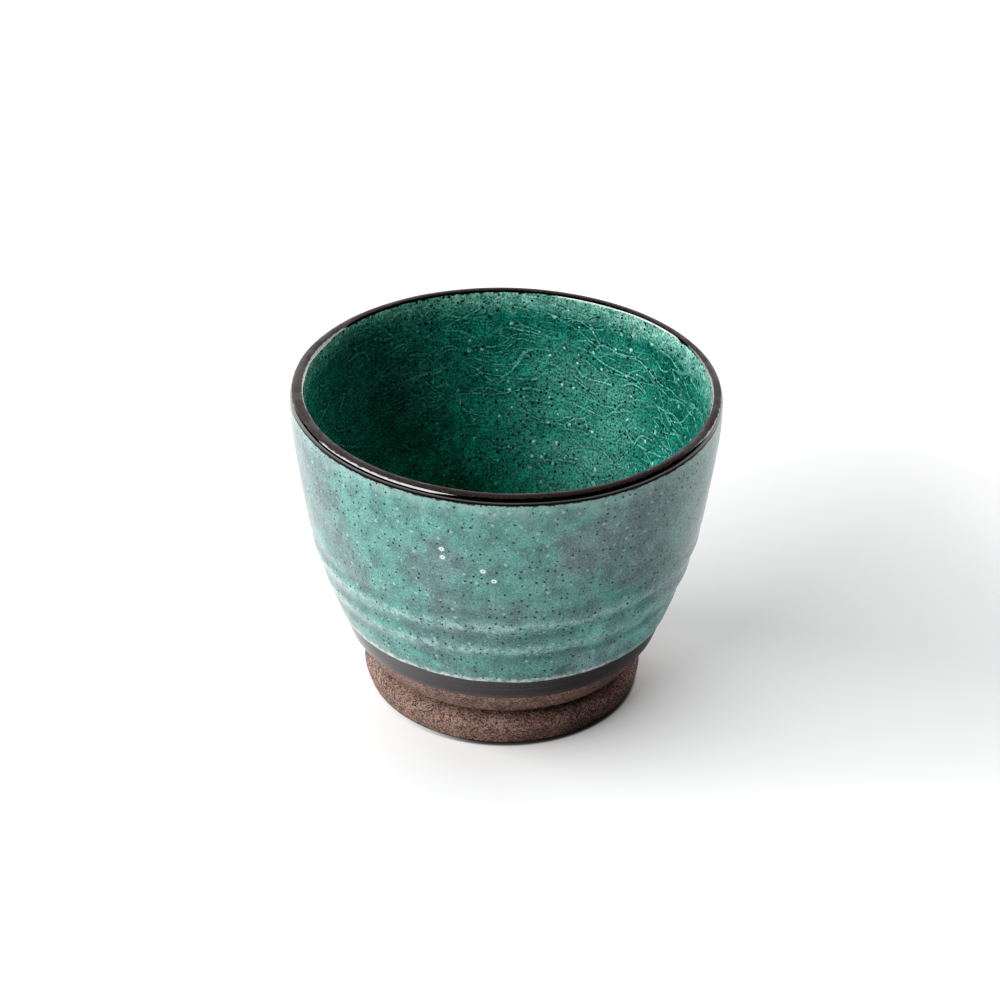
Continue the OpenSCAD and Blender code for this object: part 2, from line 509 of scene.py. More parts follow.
class NodeSheet:
    """Lays nodes on one node tree, with a short call for each kind."""

    def __init__(self, tree: Tree) -> None:
        """Start on an empty tree."""
        self.tree = tree
        self.tree.nodes.clear()

    def feed(self, socket: Socket, value: Feed) -> None:
        """Link a socket or set its value."""
        if isinstance(value, Socket):
            self.tree.links.new(value, socket)
        elif isinstance(value, (int, float)):
            socket.default_value = value
        else:
            full = tuple(value)
            short = len(full) == 3 and socket.type == "RGBA"
            socket.default_value = full + (1.0,) if short else full

    def add(
        self, kind: str, inputs: Optional[dict[str, Feed]] = None, **settings: object
    ) -> bpy.types.Node:
        """Add a node.

        Args:
            kind: Blender's name of the node type.
            inputs: Values or links for its inputs, by name.
            settings: Values for its properties.

        Returns:
            The new node.
        """
        node = self.tree.nodes.new(kind)
        for key, value in settings.items():
            setattr(node, key, value)
        for key, value in (inputs or {}).items():
            self.feed(node.inputs[key], value)
        return node

    def _pair(self, kind: str, operation: str, a: Feed, b: Feed) -> Outputs:
        """Add a node that works on two inputs and return its outputs."""
        node = self.add(kind, operation=operation)
        self.feed(node.inputs[0], a)
        self.feed(node.inputs[1], b)
        return node.outputs

    def math(self, operation: str, a: Feed, b: Feed = 0.0) -> Socket:
        """Add a Math node and return its result."""
        return self._pair("ShaderNodeMath", operation, a, b)["Value"]

    def times(self, *factors: Feed) -> Socket:
        """Multiply two or more values."""
        product = factors[0]
        for factor in factors[1:]:
            product = self.math("MULTIPLY", product, factor)
        return product

    def mix(self, factor: Feed, a: Feed, b: Feed) -> Socket:
        """Add a colour Mix node and return its result."""
        node = self.add("ShaderNodeMix", data_type="RGBA")
        self.feed(node.inputs[0], factor)
        self.feed(node.inputs[6], a)
        self.feed(node.inputs[7], b)
        return node.outputs[2]

    def vector(self, operation: str, a: Feed, b: Feed) -> Socket:
        """Add a Vector Math node and return its vector."""
        return self._pair("ShaderNodeVectorMath", operation, a, b)["Vector"]

    def distance(self, a: Feed, b: Feed) -> Socket:
        """Distance between two points."""
        return self._pair("ShaderNodeVectorMath", "DISTANCE", a, b)["Value"]

    def axes(self, place: Feed) -> Outputs:
        """Split a point into X, Y and Z."""
        return self.add("ShaderNodeSeparateXYZ", {"Vector": place}).outputs

    def shaded(self, colour: Feed, shade: Feed) -> Socket:
        """Scale a colour by a value."""
        node = self.add("ShaderNodeVectorMath", {"Scale": shade}, operation="SCALE")
        self.feed(node.inputs[0], colour)
        return node.outputs["Vector"]

    def ramp(self, value: Feed, low: Feed, high: Feed, start: Feed = 0.0, end: Feed = 1.0) -> Socket:
        """Ease a value from start to end as it goes from low to high."""
        node = self.add(
            "ShaderNodeMapRange",
            {"Value": value, "From Min": low, "From Max": high, "To Min": start, "To Max": end},
            interpolation_type="SMOOTHSTEP",
        )
        return node.outputs["Result"]

    def window(self, value: Feed, low: float, high: float, soft: float) -> Socket:
        """1 between low and high, and 0 outside, with soft ends."""
        rising = self.ramp(value, low - soft, low + soft)
        falling = self.ramp(value, high - soft, high + soft, 1.0, 0.0)
        return self.times(rising, falling)

    def vary(self, colour: Feed, mask: Feed, low: float, high: float) -> Socket:
        """Scale a colour from low to high as a mask goes from 0 to 1."""
        return self.shaded(colour, self.ramp(mask, 0.0, 1.0, low, high))

    def noise(self, vector: Feed, scale: Feed, detail: float = 2.0, rough: float = 0.5) -> Socket:
        """Add a Noise texture and return its value."""
        node = self.add(
            "ShaderNodeTexNoise", {"Vector": vector, "Scale": scale, "Detail": detail, "Roughness": rough}
        )
        return node.outputs[0]

    def attribute(self, mark: Mark) -> Socket:
        """Read one of the turned piece's own attributes."""
        return self.add("ShaderNodeAttribute", attribute_name=mark.value).outputs["Fac"]

    def millimetres(self) -> Socket:
        """Object coordinates in millimetres."""
        place = self.add("ShaderNodeTexCoord")
        return self.vector("MULTIPLY", place.outputs["Object"], (1 / MM, 1 / MM, 1 / MM))

    def group(self, tree: Tree, inputs: dict[str, Feed]) -> Outputs:
        """Place a shader node group with its own values and return its outputs."""
        return self.add("ShaderNodeGroup", inputs, node_tree=tree).outputs

    def surface(self, inputs: dict[str, Feed]) -> None:
        """Add the shader and the output of a material."""
        shader = self.add("ShaderNodeBsdfPrincipled", inputs)
        self.add("ShaderNodeOutputMaterial", {"Surface": shader.outputs["BSDF"]})


class Effects:
    """Shader node groups that the finishes place with values of their own."""

    def __init__(self) -> None:
        """Build each group once."""
        self.unrolled = self._unrolled()
        self.specks = self._specks()
        self.crackle = self._crackle()
        self.mottle = self._mottle()
        self.sand = self._sand()

    @staticmethod
    def _new(
        name: str, inputs: Sequence[str], outputs: Sequence[str]
    ) -> tuple[NodeSheet, Outputs, bpy.types.NodeInputs]:
        """Make an empty group, where a socket called Vector is a vector and the rest are values.

        Args:
            name: Name of the group.
            inputs: Names of its inputs.
            outputs: Names of its outputs.

        Returns:
            The sheet, what the group is given and where its results go.
        """
        tree = bpy.data.node_groups.new(name, "ShaderNodeTree")
        for in_out, keys in (("INPUT", inputs), ("OUTPUT", outputs)):
            for key in keys:
                kind = "NodeSocketVector" if key == "Vector" else "NodeSocketFloat"
                tree.interface.new_socket(key, in_out=in_out, socket_type=kind)
        sheet = NodeSheet(tree)
        return sheet, sheet.add("NodeGroupInput").outputs, sheet.add("NodeGroupOutput").inputs

    def _unrolled(self) -> Tree:
        """Flat coordinates in millimetres: the wall rolled out, and the floor seen from above."""
        sheet, given, result = self._new(
            "unrolled_wall", ("Vector", "Radius", "Facing", "Floor"), ("Vector",)
        )
        floor_shift = 200.0
        place = sheet.axes(given["Vector"])
        turn = sheet.math("ARCTAN2", place["X"], sheet.times(place["Y"], given["Facing"]))
        wall = sheet.add("ShaderNodeCombineXYZ", {"X": sheet.times(turn, given["Radius"]), "Y": place["Z"]})
        apart = sheet.math("ADD", place["Y"], floor_shift)
        above = sheet.add("ShaderNodeCombineXYZ", {"X": place["X"], "Y": apart})
        ragged = sheet.ramp(sheet.noise(given["Vector"], 0.4), 0.0, 1.0, -2.5, 2.5)
        low = sheet.math("LESS_THAN", sheet.math("ADD", place["Z"], ragged), given["Floor"])
        switch = sheet.add("ShaderNodeMix", data_type="VECTOR")
        sheet.feed(switch.inputs[0], low)
        sheet.feed(switch.inputs[4], wall.outputs[0])
        sheet.feed(switch.inputs[5], above.outputs[0])
        sheet.feed(result["Vector"], switch.outputs[1])
        return sheet.tree

    def _specks(self) -> Tree:
        """Round specks of mixed sizes, scattered on a flat surface."""
        sheet, given, result = self._new(
            "round_specks", ("Vector", "Spacing", "Radius", "Share", "Softness"), ("Mask",)
        )
        per_mm = sheet.math("DIVIDE", 1.0, given["Spacing"])
        cells = sheet.add(
            "ShaderNodeTexVoronoi", {"Vector": given["Vector"], "Scale": per_mm}, voronoi_dimensions="2D"
        )
        pick = sheet.add("ShaderNodeSeparateColor", {"Color": cells.outputs["Color"]}).outputs
        present = sheet.math("LESS_THAN", pick["Red"], given["Share"])
        size = sheet.times(given["Radius"], per_mm, sheet.ramp(pick["Green"], 0.0, 1.0, 0.45, 1.0))
        core = sheet.times(size, sheet.math("SUBTRACT", 1.0, given["Softness"]))
        spot = sheet.ramp(cells.outputs["Distance"], core, size, 1.0, 0.0)
        sheet.feed(result["Mask"], sheet.times(spot, present))
        return sheet.tree

    def _crackle(self) -> Tree:
        """Thin wavy crack lines of even width, longer than they are high, that fade in and out, each with a
        wider band for painted shade beside it.
        """
        sheet, given, result = self._new("crackle_lines", ("Vector", "Cell", "Width"), ("Line", "Side"))
        place = given["Vector"]
        step = 0.04
        flattest = 1e-5
        per_mm = sheet.math("DIVIDE", 1.0, given["Cell"])
        for waves, reach in ((0.35, 1.7), (1.0, 0.55)):
            bend = sheet.add(
                "ShaderNodeTexNoise",
                {"Vector": given["Vector"], "Scale": sheet.times(per_mm, waves), "Detail": 0.0},
            )
            push = sheet.vector("SUBTRACT", bend.outputs["Color"], (0.5, 0.5, 0.5))
            place = sheet.vector("ADD", place, sheet.shaded(push, sheet.times(given["Cell"], reach)))

        def edge(offset: Sequence[float]) -> Socket:
            """Distance to the nearest crack, in cells, at a small offset."""
            spot = sheet.vector("MULTIPLY", sheet.vector("ADD", place, offset), (0.33, 1.0, 1.0))
            cells = sheet.add(
                "ShaderNodeTexVoronoi",
                {"Vector": spot, "Scale": per_mm},
                voronoi_dimensions="2D",
                feature="DISTANCE_TO_EDGE",
            )
            return cells.outputs["Distance"]

        here = edge((0.0, 0.0, 0.0))
        across = sheet.math("SUBTRACT", edge((step, 0.0, 0.0)), here)
        upward = sheet.math("SUBTRACT", edge((0.0, step, 0.0)), here)
        squares = sheet.math("ADD", sheet.times(across, across), sheet.times(upward, upward))
        steep = sheet.math("MAXIMUM", sheet.math("SQRT", squares), flattest)
        far = sheet.math("DIVIDE", sheet.times(here, step), steep)
        line = sheet.ramp(far, 0.0, given["Width"], 1.0, 0.0)
        # A band four times the line's width, for painted shade beside the crack.
        side = sheet.ramp(far, 0.0, sheet.times(given["Width"], 4.0), 1.0, 0.0)
        level = sheet.math("DIVIDE", sheet.math("ABSOLUTE", upward), steep)
        patchy = sheet.ramp(sheet.noise(given["Vector"], 0.17, 3.0), 0.38, 0.56, 0.25, 1.0)
        fade = sheet.times(patchy, sheet.ramp(level, 0.35, 0.8, 0.25, 1.0))
        sheet.feed(result["Line"], sheet.times(line, fade))
        sheet.feed(result["Side"], sheet.times(side, fade))
        return sheet.tree

    def _mottle(self) -> Tree:
        """Slow clouds, patches, salt-like grain and pale blooms of a crystal glaze."""
        sheet, given, result = self._new(
            "mottled_ground", ("Vector", "Cloud", "Grain"), ("Cloud", "Patch", "Grain", "Bloom")
        )
        slow = sheet.math("DIVIDE", 1.0, given["Cloud"])
        fine = sheet.math("DIVIDE", 1.0, given["Grain"])
        layers = (
            ("Cloud", slow, 3.0, 0.55, 0.36, 0.64),
            ("Patch", sheet.times(slow, 4.0), 4.0, 0.6, 0.3, 0.7),
            ("Grain", fine, 1.0, 0.6, 0.25, 0.75),
            ("Bloom", sheet.times(fine, 0.4), 2.0, 0.7, 0.55, 0.75),
        )
        for key, scale, detail, rough, low, high in layers:
            value = sheet.noise(given["Vector"], scale, detail, rough)
            sheet.feed(result[key], sheet.ramp(value, low, high))
        return sheet.tree

    def _sand(self) -> Tree:
        """Sand grains, pits and tone of bare fired clay."""
        sheet, given, result = self._new(
            "fired_sand", ("Vector", "Grain"), ("Tone", "Grain", "Sparkle", "Pit")
        )
        fine = sheet.math("DIVIDE", 1.0, given["Grain"])
        cells = sheet.add("ShaderNodeTexVoronoi", {"Vector": given["Vector"], "Scale": fine})
        pick = sheet.add("ShaderNodeSeparateColor", {"Color": cells.outputs["Color"]}).outputs
        tone = sheet.noise(given["Vector"], 0.3, 4.0, 0.6)
        pit = sheet.noise(given["Vector"], sheet.times(fine, 0.55), 2.0, 0.6)
        sheet.feed(result["Tone"], sheet.ramp(tone, 0.3, 0.7))
        sheet.feed(result["Grain"], pick["Red"])
        sheet.feed(result["Sparkle"], sheet.ramp(pick["Green"], 0.86, 0.96))
        sheet.feed(result["Pit"], sheet.ramp(pit, 0.46, 0.34))
        return sheet.tree


@dataclass(frozen=True)
class Finish:
    """A finish with its own material."""

    name: str
    effects: Effects

    def material(self) -> bpy.types.Material:
        """Build the material."""
        material = bpy.data.materials.new(self.name)
        material.use_nodes = True
        sheet = NodeSheet(material.node_tree)
        self.paint(sheet, sheet.millimetres())
        return material

    def paint(self, sheet: NodeSheet, place: Socket) -> None:
        """Lay the nodes of the finish.

        Args:
            sheet: Sheet of the material.
            place: Object coordinates in millimetres.
        """
        raise NotImplementedError

    @staticmethod
    def close(sheet: NodeSheet, inputs: dict[str, Feed], height: Feed, depth: float) -> None:
        """Add the shader, its bump and the output.

        Args:
            sheet: Sheet of the material.
            inputs: Values for the shader.
            height: Height of the bump, from 0 to 1.
            depth: Height in metres of a full bump.
        """
        bump = sheet.add("ShaderNodeBump", {"Strength": 1.0, "Distance": depth, "Height": height})
        sheet.surface({**inputs, "Normal": bump.outputs["Normal"]})


@dataclass(frozen=True)
class Specks:
    """Round specks: cell width and largest radius in millimetres, part of the cells, soft part."""

    spacing: float
    radius: float
    part: float
    softness: float


@dataclass(frozen=True)
class Glaze(Finish):
    """A glaze with dark specks and pale stars, laid out on flat coordinates."""

    sizes: CupSizes
    specks: Specks
    stars: Specks
    roll_r: float
    facing: float
    floor_z: float
    bump_depth: float = 0.00005

    def flat(self, sheet: NodeSheet, place: Socket) -> Socket:
        """Roll the wall out flat, and look on what lies below floor_z from above."""
        inputs = {"Vector": place, "Radius": self.roll_r, "Facing": self.facing, "Floor": self.floor_z}
        return sheet.group(self.effects.unrolled, inputs)["Vector"]

    def scatter(self, sheet: NodeSheet, flat: Socket, specks: Specks) -> Socket:
        """Scatter specks on flat coordinates and return their mask."""
        inputs = {
            "Vector": flat,
            "Spacing": specks.spacing,
            "Radius": specks.radius,
            "Share": specks.part,
            "Softness": specks.softness,
        }
        return sheet.group(self.effects.specks, inputs)["Mask"]


@dataclass(frozen=True)
class OuterGlaze(Glaze):
    """Mottled green glaze with dark specks and pinholes, pale over the crests and at its edges, with
    painted light low on its right side and a painted reflection along its right edge.
    """

    specks: Specks = Specks(1.15, 0.24, 0.42, 0.3)
    stars: Specks = Specks(1.9, 0.42, 0.36, 0.8)
    roll_r: float = 30.0
    facing: float = -1.0
    floor_z: float = -100.0
    green: Colour = (0.071, 0.212, 0.188)
    grey: Colour = (0.09, 0.164, 0.165)
    pool: Colour = (0.034, 0.08, 0.084)
    pale: Colour = (0.28, 0.44, 0.4)
    white: Colour = (0.8, 0.84, 0.8)
    black: Colour = (0.003, 0.004, 0.005)
    # Strength of the painted light on the lower right of the wall.
    painted_low_light: float = 2.0
    green_x: float = -3.0
    green_half: float = 2.0
    grey_half: float = 24.0
    pinholes: tuple[tuple[float, float], ...] = (
        (-16.5, 43.5), (-16.3, 41.9), (-5.5, 40.1), (-2.5, 38.3),
    )
    halo_r: float = 0.54
    hole_r: float = 0.15

    def paint(self, sheet: NodeSheet, place: Socket) -> None:
        """Lay the glaze's nodes."""
        flat = self.flat(sheet, place)
        ground = sheet.group(self.effects.mottle, {"Vector": place, "Cloud": 13.0, "Grain": 0.24})
        colour = self._ground(sheet, place, ground)
        colour = self._edges(sheet, place, colour)
        specks = self.scatter(sheet, flat, self.specks)
        stars = self.scatter(sheet, flat, self.stars)
        colour = sheet.mix(sheet.times(stars, 0.75), colour, self.pale)
        colour = sheet.mix(specks, colour, self.black)
        colour, holes = self._pinholes(sheet, flat, colour)
        pits = sheet.math("MAXIMUM", sheet.times(specks, 0.3), holes)
        relief = sheet.math("SUBTRACT", sheet.times(ground["Grain"], 0.2), pits)
        rough = sheet.ramp(ground["Grain"], 0.0, 1.0, 0.16, 0.24)
        self.close(sheet, {"Base Color": colour, "Roughness": rough, "IOR": 1.5}, relief, self.bump_depth)

    def _ground(self, sheet: NodeSheet, place: Socket, ground: Outputs) -> Socket:
        """Colour of the glaze body, dark in the troughs and pale over the crests, with painted light low on
        the right and a painted reflection along the right edge.
        """
        side = sheet.axes(place)["X"]
        away = sheet.math("ABSOLUTE", sheet.math("SUBTRACT", side, self.green_x))
        lean = sheet.ramp(away, self.green_half, self.grey_half, 0.3, -0.25)
        cloud = sheet.ramp(sheet.math("ADD", ground["Cloud"], lean), 0.0, 1.0)
        colour = sheet.mix(cloud, self.grey, self.green)
        colour = sheet.vary(colour, ground["Patch"], 0.77, 1.23)
        # Painted light: the lower wall is brightened towards its right side.
        low = sheet.ramp(sheet.attribute(Mark.TURNED_Z), 22.0, 34.0, self.painted_low_light, 1.0)
        lit = sheet.times(low, sheet.ramp(side, 0.0, 18.0))
        colour = sheet.shaded(colour, sheet.math("MAXIMUM", 1.0, lit))
        ridge = sheet.attribute(Mark.RIDGE)
        trough = sheet.math("MAXIMUM", sheet.times(ridge, -0.5), 0.0)
        pooled = sheet.times(trough, sheet.ramp(sheet.noise(place, 0.12), 0.3, 0.6))
        colour = sheet.mix(pooled, colour, self.pool)
        broken = sheet.ramp(sheet.noise(place, 0.9, 5.0, 0.7), 0.4, 0.6, 0.1, 0.9)
        colour = sheet.mix(sheet.times(sheet.math("MAXIMUM", ridge, 0.0), broken), colour, self.pale)
        colour = sheet.mix(sheet.times(ground["Bloom"], 0.35), colour, self.pale)
        # Painted reflection: the wall turns pale towards its right edge.
        colour = sheet.mix(sheet.ramp(side, 20.0, 33.0, 0.0, 0.55), colour, self.pale)
        return sheet.vary(colour, ground["Grain"], 0.68, 1.32)

    def _edges(self, sheet: NodeSheet, place: Feed, colour: Feed) -> Socket:
        """Pale thin glaze at both edges, and a dark fringe under the lip dressing."""
        s = self.sizes
        ragged = sheet.ramp(sheet.noise(place, 1.1, 4.0, 0.65), 0.2, 0.8, -0.3, 0.3)
        cloudy = sheet.ramp(sheet.noise(place, 0.35, 4.0, 0.7), 0.25, 0.75, -2.0, 2.0)
        height = sheet.attribute(Mark.TURNED_Z)
        level = sheet.math("ADD", height, ragged)
        broken = sheet.ramp(sheet.noise(place, 0.8, 4.0, 0.7), 0.38, 0.6, 0.15, 0.75)
        low = sheet.times(sheet.ramp(level, s.glaze_line_z + 0.3, s.glaze_line_z + 1.1, 1.0, 0.0), broken)
        upper = sheet.math("ADD", height, cloudy)
        thin = sheet.ramp(upper, s.dressing_z - 4.0, s.dressing_z - 0.2, 0.0, 0.4)
        colour = sheet.mix(thin, colour, self.pale)
        colour = sheet.mix(low, colour, self.white)
        return sheet.mix(sheet.ramp(level, s.dressing_z - 0.25, s.dressing_z - 0.08), colour, self.black)

    def _pinholes(self, sheet: NodeSheet, flat: Feed, colour: Feed) -> tuple[Socket, Socket]:
        """Burst bubbles: a dark hole in a white ring.

        Args:
            sheet: Sheet of the material.
            flat: Flat coordinates of the wall.
            colour: Colour of the glaze.

        Returns:
            The colour with the pinholes, and the mask of their holes.
        """
        holes: Feed = 0.0
        for degrees, z in self.pinholes:
            spot = (math.radians(degrees) * self.roll_r, z, 0.0)
            far = sheet.distance(flat, spot)
            colour = sheet.mix(sheet.ramp(far, self.hole_r, self.halo_r, 1.0, 0.0), colour, self.white)
            hole = sheet.ramp(far, self.hole_r * 0.6, self.hole_r, 1.0, 0.0)
            colour = sheet.mix(hole, colour, self.black)
            holes = sheet.math("MAXIMUM", holes, hole)
        return colour, holes


@dataclass(frozen=True)
class InnerGlaze(Glaze):
    """Deep green crackle glaze, pale just under the lip, with painted light and shade, a painted sheen and
    painted shade beside its cracks.
    """

    specks: Specks = Specks(1.05, 0.27, 0.42, 0.3)
    stars: Specks = Specks(2.2, 0.5, 0.34, 0.85)
    roll_r: float = 29.0
    facing: float = 1.0
    floor_z: float = 17.5
    deep: Colour = (0.007, 0.13, 0.1)
    bright: Colour = (0.011, 0.175, 0.135)
    # Painted light and shade across the inside: lighter towards the left, darker towards the right.
    painted_light_x: float = -8.0
    painted_shade_x: float = 20.0
    pale: Colour = (0.25, 0.53, 0.43)
    crack: Colour = (0.13, 0.46, 0.36)
    star: Colour = (0.42, 0.66, 0.56)
    black: Colour = (0.002, 0.005, 0.005)
    # Centre and reach of a painted sheen inside; the pale stars also gather round this centre.
    painted_sheen_at: tuple[float, float, float] = (13.0, 25.0, 33.0)
    painted_sheen_r: float = 22.0
    cracks: tuple[tuple[float, float, float], ...] = (
        (4.2, 0.24, 0.9), (2.6, 0.2, 0.75), (1.5, 0.15, 0.5),
    )

    def paint(self, sheet: NodeSheet, place: Socket) -> None:
        """Lay the glaze's nodes."""
        flat = self.flat(sheet, place)
        ground = sheet.group(self.effects.mottle, {"Vector": place, "Cloud": 10.0, "Grain": 0.32})
        side = sheet.axes(place)["X"]
        height = sheet.attribute(Mark.TURNED_Z)
        colour = sheet.mix(ground["Cloud"], self.deep, self.bright)
        # Painted light and shade: lighter on the left, darker on the right.
        colour = sheet.shaded(colour, sheet.ramp(side, self.painted_light_x, self.painted_shade_x, 1.15, 0.72))
        colour = sheet.vary(colour, ground["Patch"], 0.8, 1.22)
        # Painted light: the lower inside wall and the floor of the well are lightened.
        colour = sheet.shaded(colour, sheet.ramp(height, 24.0, 42.0, 1.95, 1.0))
        # Painted sheen: a pale reflection mixed in round one spot inside.
        near = sheet.ramp(sheet.distance(place, self.painted_sheen_at), 5.0, self.painted_sheen_r, 1.0, 0.0)
        painted_sheen = sheet.ramp(sheet.noise(place, 0.12, 4.0, 0.65), 0.35, 0.65, 0.06, 0.22)
        colour = sheet.mix(sheet.times(painted_sheen, near), colour, self.pale)
        colour = self._halo(sheet, place, colour)
        cracks: Feed = 0.0
        for cell, width, strength in self.cracks:
            lines = sheet.group(self.effects.crackle, {"Vector": flat, "Cell": cell, "Width": width})
            # Painted shade: a band beside each crack is darkened.
            colour = sheet.vary(colour, sheet.times(lines["Side"], strength), 1.0, 0.5)
            cracks = sheet.math("MAXIMUM", cracks, sheet.times(lines["Line"], strength))
        colour = sheet.mix(cracks, colour, self.crack)
        stars = self.scatter(sheet, flat, self.stars)
        gather = sheet.ramp(sheet.distance(place, self.painted_sheen_at), 8.0, 34.0, 1.0, 0.3)
        colour = sheet.mix(sheet.times(stars, gather), colour, self.star)
        colour = sheet.mix(sheet.times(ground["Bloom"], 0.14), colour, self.pale)
        colour = sheet.vary(colour, ground["Grain"], 0.45, 1.55)
        specks = self.scatter(sheet, flat, self.specks)
        colour = sheet.mix(specks, colour, self.black)
        raised = sheet.math("ADD", sheet.times(ground["Grain"], 0.2), sheet.times(cracks, 0.6))
        gloss = sheet.ramp(height, self.sizes.lip_z - 0.9, self.sizes.lip_z - 0.1)
        relief = sheet.math("SUBTRACT", raised, sheet.times(specks, 0.3))
        relief = sheet.times(relief, sheet.math("SUBTRACT", 1.0, gloss))
        fine = sheet.ramp(ground["Grain"], 0.0, 1.0, 0.1, 0.18)
        dull = sheet.ramp(height, 22.0, 42.0, 0.6, 0.0)
        inputs = {
            "Base Color": colour,
            "Roughness": sheet.math("MAXIMUM", fine, dull),
            "IOR": 1.5,
            "Specular IOR Level": 0.25,
            "Coat Weight": sheet.times(gloss, 0.6),
            "Coat Roughness": 0.05,
            "Coat IOR": 1.8,
        }
        self.close(sheet, inputs, relief, self.bump_depth)

    def _halo(self, sheet: NodeSheet, place: Feed, colour: Feed) -> Socket:
        """Pale glaze that thins under the lip, with a ragged dark edge at the dressing."""
        s = self.sizes
        top_z = s.lip_z + (s.lip_t / 2 + s.dressing_t) * math.sin(math.radians(s.dressing_wrap))
        ragged = sheet.ramp(sheet.noise(place, 1.3, 4.0, 0.65), 0.2, 0.8, -0.3, 0.3)
        cloudy = sheet.ramp(sheet.noise(place, 0.5, 4.0, 0.7), 0.25, 0.75, -1.3, 1.3)
        height = sheet.attribute(Mark.TURNED_Z)
        thin = sheet.math("ADD", height, cloudy)
        wide = sheet.ramp(thin, top_z - 4.4, top_z - 0.9, 0.0, 0.55)
        close = sheet.ramp(thin, top_z - 2.2, top_z - 0.8, 0.0, 0.95)
        colour = sheet.mix(sheet.math("MAXIMUM", wide, close), colour, self.pale)
        fringe = sheet.ramp(sheet.math("ADD", height, ragged), top_z - 0.1, top_z + 0.05)
        return sheet.mix(fringe, colour, self.black)


@dataclass(frozen=True)
class DarkDressing(Finish):
    """Near-black glossy dressing, worn brown and dull along the top of the lip."""

    sizes: CupSizes
    black: Colour = (0.003, 0.0025, 0.0025)
    worn: Colour = (0.036, 0.027, 0.026)
    worn_from: float = 50.0
    worn_to: float = 124.0
    bump_depth: float = 0.00003

    def paint(self, sheet: NodeSheet, place: Socket) -> None:
        """Lay the dressing's nodes."""
        ground = sheet.group(self.effects.mottle, {"Vector": place, "Cloud": 2.4, "Grain": 0.22})
        rise = sheet.math("SUBTRACT", sheet.attribute(Mark.TURNED_Z), self.sizes.lip_z)
        reach = sheet.math("SUBTRACT", sheet.attribute(Mark.TURNED_R), self.sizes.lip_mid_r)
        turn = sheet.math("DEGREES", sheet.math("ARCTAN2", rise, reach))
        wander = sheet.math("ADD", turn, sheet.ramp(ground["Patch"], 0.0, 1.0, -4.0, 4.0))
        top = sheet.window(wander, self.worn_from, self.worn_to, 4.0)
        wear = sheet.times(top, sheet.ramp(ground["Cloud"], 0.0, 1.0, 0.9, 1.0))
        colour = sheet.mix(wear, self.black, self.worn)
        colour = sheet.vary(colour, ground["Grain"], 0.75, 1.25)
        inputs = {
            "Base Color": colour,
            "Roughness": sheet.ramp(wear, 0.0, 1.0, 0.1, 0.45),
            "Specular IOR Level": 0.04,
            "Coat Weight": sheet.times(sheet.math("SUBTRACT", 1.0, wear), sheet.ramp(turn, 5.0, 20.0)),
            "Coat Roughness": 0.05,
            "Coat IOR": 1.75,
        }
        self.close(sheet, inputs, sheet.times(ground["Grain"], wear), self.bump_depth)


@dataclass(frozen=True)
class IronSlip(Finish):
    """Dark slip with a low gloss and faint turning lines, red where it thins at its lower edge."""

    sizes: CupSizes
    dark: Colour = (0.014, 0.012, 0.0138)
    worn: Colour = (0.034, 0.029, 0.033)
    red: Colour = (0.07, 0.04, 0.034)
    bump_depth: float = 0.000004

    def paint(self, sheet: NodeSheet, place: Socket) -> None:
        """Lay the slip's nodes."""
        ground = sheet.group(self.effects.mottle, {"Vector": place, "Cloud": 5.0, "Grain": 0.2})
        turned = sheet.noise(sheet.vector("MULTIPLY", place, (0.03, 0.03, 2.6)), 1.0, 2.0)
        turned = sheet.ramp(turned, 0.34, 0.66)
        tone = sheet.math("ADD", sheet.times(ground["Grain"], 0.35), sheet.times(turned, 0.65))
        colour = sheet.mix(tone, self.dark, self.worn)
        ragged = sheet.ramp(sheet.noise(place, 2.2, 3.0, 0.7), 0.2, 0.8, -0.35, 0.35)
        level = sheet.math("ADD", sheet.attribute(Mark.TURNED_Z), ragged)
        low = self.sizes.band_low_z
        colour = sheet.mix(sheet.ramp(level, low, low + 0.7, 0.8, 0.0), colour, self.red)
        rough = sheet.ramp(tone, 0.0, 1.0, 0.13, 0.22)
        self.close(sheet, {"Base Color": colour, "Roughness": rough, "IOR": 1.55}, tone, self.bump_depth)


@dataclass(frozen=True)
class BareClay(Finish):
    """Sandy unglazed stoneware."""

    clay: Colour = (0.24, 0.152, 0.126)
    dusk: Colour = (0.16, 0.098, 0.08)
    grain: Colour = (0.44, 0.34, 0.28)
    hollow: Colour = (0.022, 0.014, 0.011)
    grain_mm: float = 0.2
    # Height below which the clay darkens as painted contact shade; below 0 for none.
    painted_contact_shade_z: float = -1.0
    bump_depth: float = 0.00007

    def paint(self, sheet: NodeSheet, place: Socket) -> None:
        """Lay the clay's nodes."""
        sand = sheet.group(self.effects.sand, {"Vector": place, "Grain": self.grain_mm})
        colour = sheet.mix(sand["Tone"], self.dusk, self.clay)
        colour = sheet.vary(colour, sand["Grain"], 0.36, 1.66)
        colour = sheet.mix(sheet.times(sand["Pit"], 0.75), colour, self.hollow)
        colour = sheet.mix(sheet.times(sand["Sparkle"], 0.5), colour, self.grain)
        # Painted shade: the clay darkens towards its lowest edge.
        low = sheet.ramp(sheet.attribute(Mark.TURNED_Z), self.painted_contact_shade_z - 0.7, self.painted_contact_shade_z, 0.2, 1.0)
        colour = sheet.shaded(colour, low)
        relief = sheet.math("SUBTRACT", sand["Grain"], sand["Pit"])
        rough = sheet.ramp(sand["Sparkle"], 0.0, 1.0, 0.9, 0.5)
        self.close(sheet, {"Base Color": colour, "Roughness": rough, "IOR": 1.4}, relief, self.bump_depth)


def dress(piece: Piece, material: bpy.types.Material) -> None:
    """Give a piece its finish."""
    piece.data.materials.clear()
    piece.data.materials.append(material)


@dataclass
class Assembly:
    """Pieces of the cup that are built and dressed together."""

    wheel: Wheel
    effects: Effects
    pieces: list[Piece] = field(default_factory=list)

    @property
    def curve(self) -> WallCurve:
        """The clay's outline."""
        return self.wheel.marks.curve


